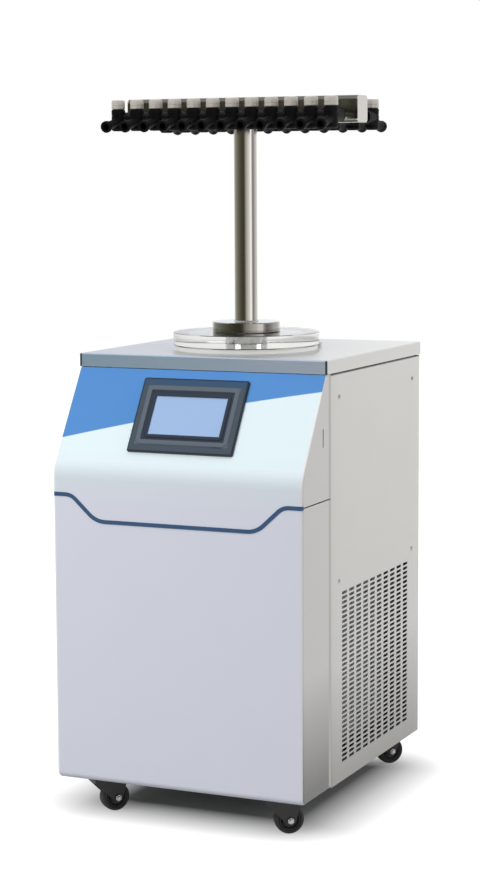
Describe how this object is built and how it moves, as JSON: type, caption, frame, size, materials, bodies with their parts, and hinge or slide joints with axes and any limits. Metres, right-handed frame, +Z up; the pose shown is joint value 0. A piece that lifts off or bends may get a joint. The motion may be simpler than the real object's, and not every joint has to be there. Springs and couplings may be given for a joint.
{
  "type": "freeze dryer",
  "caption": "Floor-standing laboratory freeze dryer: cabinet on casters, cold trap with clear lid, and a T-shaped column whose turning valves feed ampoules.",
  "frame": {"origin": "on the floor under the column's axis, the middle of the outline seen from above", "axes": "+X to the operator's right, +Y towards the back, +Z up along the column"},
  "size_m": [0.5036, 0.64, 1.336],
  "materials": {
    "cover_paint": "smooth powder coat, white below and blue on the slope",
    "side_paint": "smooth light-grey powder coat",
    "trim_blue": "glossy blue strip",
    "galvanised": "plain zinc-coated sheet",
    "frame_paint": "dark powder coat",
    "stainless": "fine brushed stainless steel",
    "polished_steel": "polished stainless tube",
    "screw_steel": "plain steel",
    "bezel_plastic": "dark slate, fine texture",
    "screen_glass": "smooth display face",
    "foam": "black closed-cell foam",
    "compressor_paint": "black enamel",
    "fin_aluminium": "bare fins",
    "black_plastic": "fine texture",
    "gasket_rubber": "translucent silicone",
    "clear_acrylic": "clear acrylic plate",
    "valve_rubber": "black moulded rubber",
    "knob_plastic": "pale grey plastic",
    "tread_rubber": "black tread"
  },
  "bodies": {
    "machine": {"front_upper_cover": "cover_paint", "front_lower_cover": "cover_paint", "trim_strip": "trim_blue", "side_panel_right": "side_paint", "side_panel_left": "side_paint", "back_panel": "side_paint", "panel_screws": "screw_steel", "base_tray": "galvanised", "chassis_frame": "frame_paint", "top_plate": "stainless", "panel_housing": "bezel_plastic", "panel_screen": "screen_glass", "cold_trap_vessel": "stainless", "trap_insulation": "foam", "compressor": "compressor_paint", "condenser": "fin_aluminium", "fan_shroud": "galvanised", "lid_gasket": "gasket_rubber", "lid_disc": "clear_acrylic", "column_flange": "stainless", "column_tube": "polished_steel", "manifold_header": "polished_steel", "valve_bodies": "valve_rubber", "caster_plates": "screw_steel", "vacuum_pipe": "polished_steel", "drain_pipe": "polished_steel", "power_inlet": "black_plastic"},
    "fan": {"fan_rotor": "black_plastic"},
    "swivel_fl": {"caster_fork_fl": "black_plastic"},
    "swivel_fr": {"caster_fork_fr": "black_plastic"},
    "swivel_rl": {"caster_fork_rl": "black_plastic"},
    "swivel_rr": {"caster_fork_rr": "black_plastic"},
    "wheel_fl": {"caster_wheel_fl": "tread_rubber"},
    "wheel_fr": {"caster_wheel_fr": "tread_rubber"},
    "wheel_rl": {"caster_wheel_rl": "tread_rubber"},
    "wheel_rr": {"caster_wheel_rr": "tread_rubber"},
    "knob_01": {"valve_knob_01": "knob_plastic"},
    "knob_02": {"valve_knob_02": "knob_plastic"},
    "knob_03": {"valve_knob_03": "knob_plastic"},
    "knob_04": {"valve_knob_04": "knob_plastic"},
    "knob_05": {"valve_knob_05": "knob_plastic"},
    "knob_06": {"valve_knob_06": "knob_plastic"},
    "knob_07": {"valve_knob_07": "knob_plastic"},
    "knob_08": {"valve_knob_08": "knob_plastic"},
    "knob_09": {"valve_knob_09": "knob_plastic"},
    "knob_10": {"valve_knob_10": "knob_plastic"},
    "knob_11": {"valve_knob_11": "knob_plastic"},
    "knob_12": {"valve_knob_12": "knob_plastic"},
    "knob_13": {"valve_knob_13": "knob_plastic"},
    "knob_14": {"valve_knob_14": "knob_plastic"},
    "knob_15": {"valve_knob_15": "knob_plastic"},
    "knob_16": {"valve_knob_16": "knob_plastic"},
    "knob_17": {"valve_knob_17": "knob_plastic"},
    "knob_18": {"valve_knob_18": "knob_plastic"},
    "knob_19": {"valve_knob_19": "knob_plastic"},
    "knob_20": {"valve_knob_20": "knob_plastic"},
    "knob_21": {"valve_knob_21": "knob_plastic"},
    "knob_22": {"valve_knob_22": "knob_plastic"},
    "knob_23": {"valve_knob_23": "knob_plastic"},
    "knob_24": {"valve_knob_24": "knob_plastic"}
  },
  "joints": [
    {"name": "fan_spin", "type": "hinge", "parent": "machine", "child": "fan", "pos_m": [0.13, 0.045, 0.253], "axis": [1, 0, 0], "continuous": true},
    {"name": "swivel_fl", "type": "hinge", "parent": "machine", "child": "swivel_fl", "pos_m": [-0.178, -0.271, 0.064], "axis": [0, 0, 1], "continuous": true},
    {"name": "swivel_fr", "type": "hinge", "parent": "machine", "child": "swivel_fr", "pos_m": [0.178, -0.271, 0.064], "axis": [0, 0, 1], "continuous": true},
    {"name": "swivel_rl", "type": "hinge", "parent": "machine", "child": "swivel_rl", "pos_m": [-0.178, 0.249, 0.064], "axis": [0, 0, 1], "continuous": true},
    {"name": "swivel_rr", "type": "hinge", "parent": "machine", "child": "swivel_rr", "pos_m": [0.178, 0.249, 0.064], "axis": [0, 0, 1], "continuous": true},
    {"name": "roll_fl", "type": "hinge", "parent": "swivel_fl", "child": "wheel_fl", "pos_m": [-0.16445, -0.25366, 0.027], "axis": [-0.788, 0.6157, 0], "continuous": true},
    {"name": "roll_fr", "type": "hinge", "parent": "swivel_fr", "child": "wheel_fr", "pos_m": [0.1958, -0.25807, 0.027], "axis": [-0.5878, 0.809, 0], "continuous": true},
    {"name": "roll_rl", "type": "hinge", "parent": "swivel_rl", "child": "wheel_rl", "pos_m": [-0.167, 0.26805, 0.027], "axis": [-0.866, 0.5, 0], "continuous": true},
    {"name": "roll_rr", "type": "hinge", "parent": "swivel_rr", "child": "wheel_rr", "pos_m": [0.19356, 0.26456, 0.027], "axis": [-0.7071, 0.7071, 0], "continuous": true},
    {"name": "turn_01", "type": "hinge", "parent": "machine", "child": "knob_01", "pos_m": [-0.21725, -0.103, 1.302], "axis": [0, 0, 1], "range_deg": [0, 180]},
    {"name": "turn_02", "type": "hinge", "parent": "machine", "child": "knob_02", "pos_m": [-0.17775, -0.103, 1.302], "axis": [0, 0, 1], "range_deg": [0, 180]},
    {"name": "turn_03", "type": "hinge", "parent": "machine", "child": "knob_03", "pos_m": [-0.13825, -0.103, 1.302], "axis": [0, 0, 1], "range_deg": [0, 180]},
    {"name": "turn_04", "type": "hinge", "parent": "machine", "child": "knob_04", "pos_m": [-0.09875, -0.103, 1.302], "axis": [0, 0, 1], "range_deg": [0, 180]},
    {"name": "turn_05", "type": "hinge", "parent": "machine", "child": "knob_05", "pos_m": [-0.05925, -0.103, 1.302], "axis": [0, 0, 1], "range_deg": [0, 180]},
    {"name": "turn_06", "type": "hinge", "parent": "machine", "child": "knob_06", "pos_m": [-0.01975, -0.103, 1.302], "axis": [0, 0, 1], "range_deg": [0, 180]},
    {"name": "turn_07", "type": "hinge", "parent": "machine", "child": "knob_07", "pos_m": [0.01975, -0.103, 1.302], "axis": [0, 0, 1], "range_deg": [0, 180]},
    {"name": "turn_08", "type": "hinge", "parent": "machine", "child": "knob_08", "pos_m": [0.05925, -0.103, 1.302], "axis": [0, 0, 1], "range_deg": [0, 180]},
    {"name": "turn_09", "type": "hinge", "parent": "machine", "child": "knob_09", "pos_m": [0.09875, -0.103, 1.302], "axis": [0, 0, 1], "range_deg": [0, 180]},
    {"name": "turn_10", "type": "hinge", "parent": "machine", "child": "knob_10", "pos_m": [0.13825, -0.103, 1.302], "axis": [0, 0, 1], "range_deg": [0, 180]},
    {"name": "turn_11", "type": "hinge", "parent": "machine", "child": "knob_11", "pos_m": [0.17775, -0.103, 1.302], "axis": [0, 0, 1], "range_deg": [0, 180]},
    {"name": "turn_12", "type": "hinge", "parent": "machine", "child": "knob_12", "pos_m": [0.21725, -0.103, 1.302], "axis": [0, 0, 1], "range_deg": [0, 180]},
    {"name": "turn_13", "type": "hinge", "parent": "machine", "child": "knob_13", "pos_m": [-0.21725, 0.103, 1.302], "axis": [0, 0, 1], "range_deg": [0, 180]},
    {"name": "turn_14", "type": "hinge", "parent": "machine", "child": "knob_14", "pos_m": [-0.17775, 0.103, 1.302], "axis": [0, 0, 1], "range_deg": [0, 180]},
    {"name": "turn_15", "type": "hinge", "parent": "machine", "child": "knob_15", "pos_m": [-0.13825, 0.103, 1.302], "axis": [0, 0, 1], "range_deg": [0, 180]},
    {"name": "turn_16", "type": "hinge", "parent": "machine", "child": "knob_16", "pos_m": [-0.09875, 0.103, 1.302], "axis": [0, 0, 1], "range_deg": [0, 180]},
    {"name": "turn_17", "type": "hinge", "parent": "machine", "child": "knob_17", "pos_m": [-0.05925, 0.103, 1.302], "axis": [0, 0, 1], "range_deg": [0, 180]},
    {"name": "turn_18", "type": "hinge", "parent": "machine", "child": "knob_18", "pos_m": [-0.01975, 0.103, 1.302], "axis": [0, 0, 1], "range_deg": [0, 180]},
    {"name": "turn_19", "type": "hinge", "parent": "machine", "child": "knob_19", "pos_m": [0.01975, 0.103, 1.302], "axis": [0, 0, 1], "range_deg": [0, 180]},
    {"name": "turn_20", "type": "hinge", "parent": "machine", "child": "knob_20", "pos_m": [0.05925, 0.103, 1.302], "axis": [0, 0, 1], "range_deg": [0, 180]},
    {"name": "turn_21", "type": "hinge", "parent": "machine", "child": "knob_21", "pos_m": [0.09875, 0.103, 1.302], "axis": [0, 0, 1], "range_deg": [0, 180]},
    {"name": "turn_22", "type": "hinge", "parent": "machine", "child": "knob_22", "pos_m": [0.13825, 0.103, 1.302], "axis": [0, 0, 1], "range_deg": [0, 180]},
    {"name": "turn_23", "type": "hinge", "parent": "machine", "child": "knob_23", "pos_m": [0.17775, 0.103, 1.302], "axis": [0, 0, 1], "range_deg": [0, 180]},
    {"name": "turn_24", "type": "hinge", "parent": "machine", "child": "knob_24", "pos_m": [0.21725, 0.103, 1.302], "axis": [0, 0, 1], "range_deg": [0, 180]}
  ]
}
